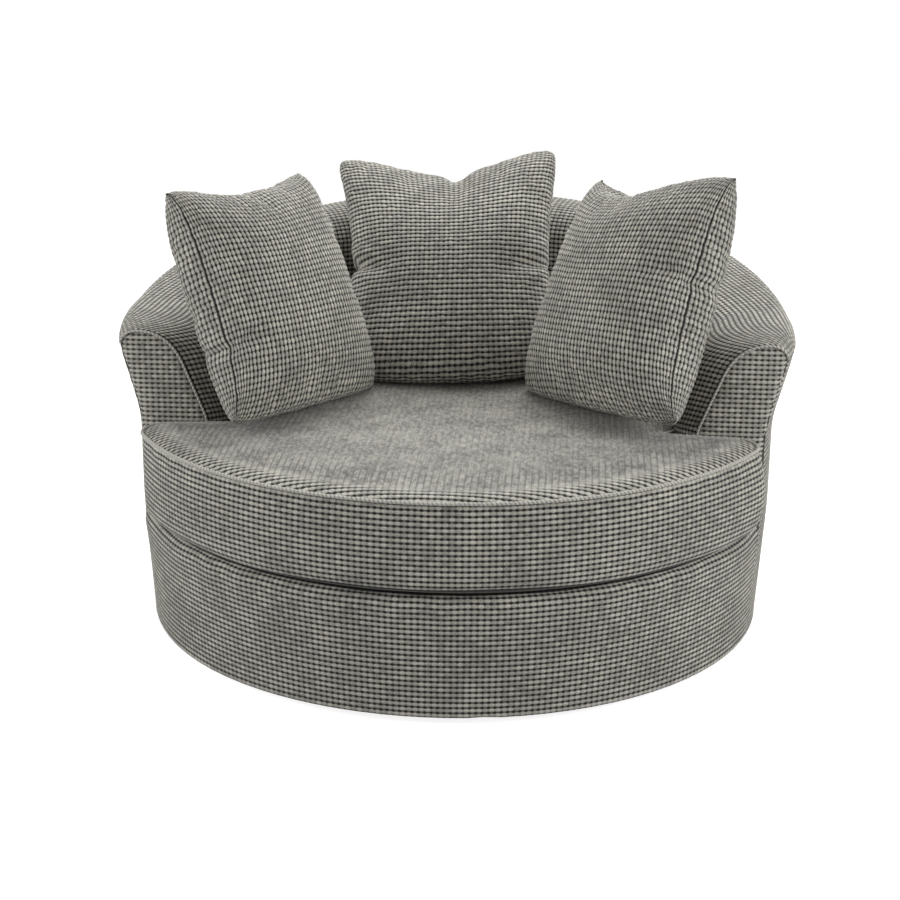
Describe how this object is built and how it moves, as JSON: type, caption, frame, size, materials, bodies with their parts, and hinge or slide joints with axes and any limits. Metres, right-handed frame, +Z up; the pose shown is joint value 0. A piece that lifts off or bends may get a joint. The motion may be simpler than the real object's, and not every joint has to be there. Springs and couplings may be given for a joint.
{
  "type": "cuddle chair",
  "caption": "Round swivel cuddle chair: drum base, barrel back with a rolled rim, thick T-shaped seat cushion and loose scatter cushions in waffle chenille",
  "frame": {"origin": "where the swivel axis meets the floor, in the middle of the floor pad's underside", "axes": "+Z up, -Y out of the front of the seat, +X to the right of someone who faces the chair"},
  "size_m": [1.3774, 1.3621, 0.9221],
  "materials": {
    "chenille": "taupe-grey waffle chenille, matt with a soft pile",
    "piping": "the same chenille on the bias over a cord",
    "lining_cloth": "black non-woven lining",
    "foam": "cream upholstery foam and fibre fill, matt",
    "plywood": "raw plywood, sanded",
    "fibreboard": "bent hardboard, smooth one side",
    "plate_steel": "zinc-plated, satin",
    "spring_steel": "drawn wire, dark satin",
    "black_plastic": "moulded nylon, matt",
    "rubber": "anti-slip rubber, matt"
  },
  "bodies": {
    "floor_base": {"floor_pad": "rubber", "plinth_board": "plywood", "swivel_lower_plate": "plate_steel", "ball_cage": "black_plastic", "lower_screw_1": "plate_steel", "lower_screw_2": "plate_steel", "lower_screw_3": "plate_steel", "lower_screw_4": "plate_steel"},
    "chair": {"swivel_upper_plate": "plate_steel", "upper_screw_1": "plate_steel", "upper_screw_2": "plate_steel", "upper_screw_3": "plate_steel", "upper_screw_4": "plate_steel", "cross_rail_left": "plywood", "cross_rail_right": "plywood", "base_ring": "plywood", "front_post_1": "plywood", "front_post_2": "plywood", "front_post_3": "plywood", "back_rib_1": "plywood", "back_rib_2": "plywood", "back_rib_3": "plywood", "back_rib_4": "plywood", "back_rib_5": "plywood", "arm_board_left": "plywood", "arm_board_right": "plywood", "deck_ring": "plywood", "top_rail": "plywood", "outside_board": "fibreboard", "front_board": "fibreboard", "seat_spring_1": "spring_steel", "seat_spring_2": "spring_steel", "seat_spring_3": "spring_steel", "seat_spring_4": "spring_steel", "seat_spring_5": "spring_steel", "deck_pad": "foam", "deck_cloth": "lining_cloth", "inside_foam": "foam", "outside_cover": "chenille", "inside_cover": "chenille", "drum_cover": "chenille", "arm_facing_left": "chenille", "arm_facing_right": "chenille", "arm_piping_left": "piping", "arm_piping_right": "piping", "dust_cover": "lining_cloth"},
    "seat_cushion": {"seat_cushion_cover": "chenille", "seat_cushion_core": "foam", "seat_cushion_zip": "black_plastic", "seat_cushion_piping": "piping"},
    "scatter_left": {"scatter_cover_left": "chenille", "scatter_pad_left": "foam", "scatter_zip_left": "black_plastic"},
    "scatter_centre": {"scatter_cover_centre": "chenille", "scatter_pad_centre": "foam", "scatter_zip_centre": "black_plastic"},
    "scatter_right": {"scatter_cover_right": "chenille", "scatter_pad_right": "foam", "scatter_zip_right": "black_plastic"}
  },
  "joints": [
    {"name": "swivel", "type": "hinge", "parent": "floor_base", "child": "chair", "pos_m": [0, 0, 0.0299], "axis": [0, 0, 1], "continuous": true},
    {"name": "seat_cushion_lift", "type": "slide", "parent": "chair", "child": "seat_cushion", "axis": [0, 0, 1], "range_m": [0, 0.52]},
    {"name": "scatter_left_lift", "type": "slide", "parent": "seat_cushion", "child": "scatter_left", "axis": [0, 0, 1], "range_m": [0, 0.47]},
    {"name": "scatter_centre_lift", "type": "slide", "parent": "seat_cushion", "child": "scatter_centre", "axis": [0, 0, 1], "range_m": [0, 0.47]},
    {"name": "scatter_right_lift", "type": "slide", "parent": "seat_cushion", "child": "scatter_right", "axis": [0, 0, 1], "range_m": [0, 0.47]}
  ]
}
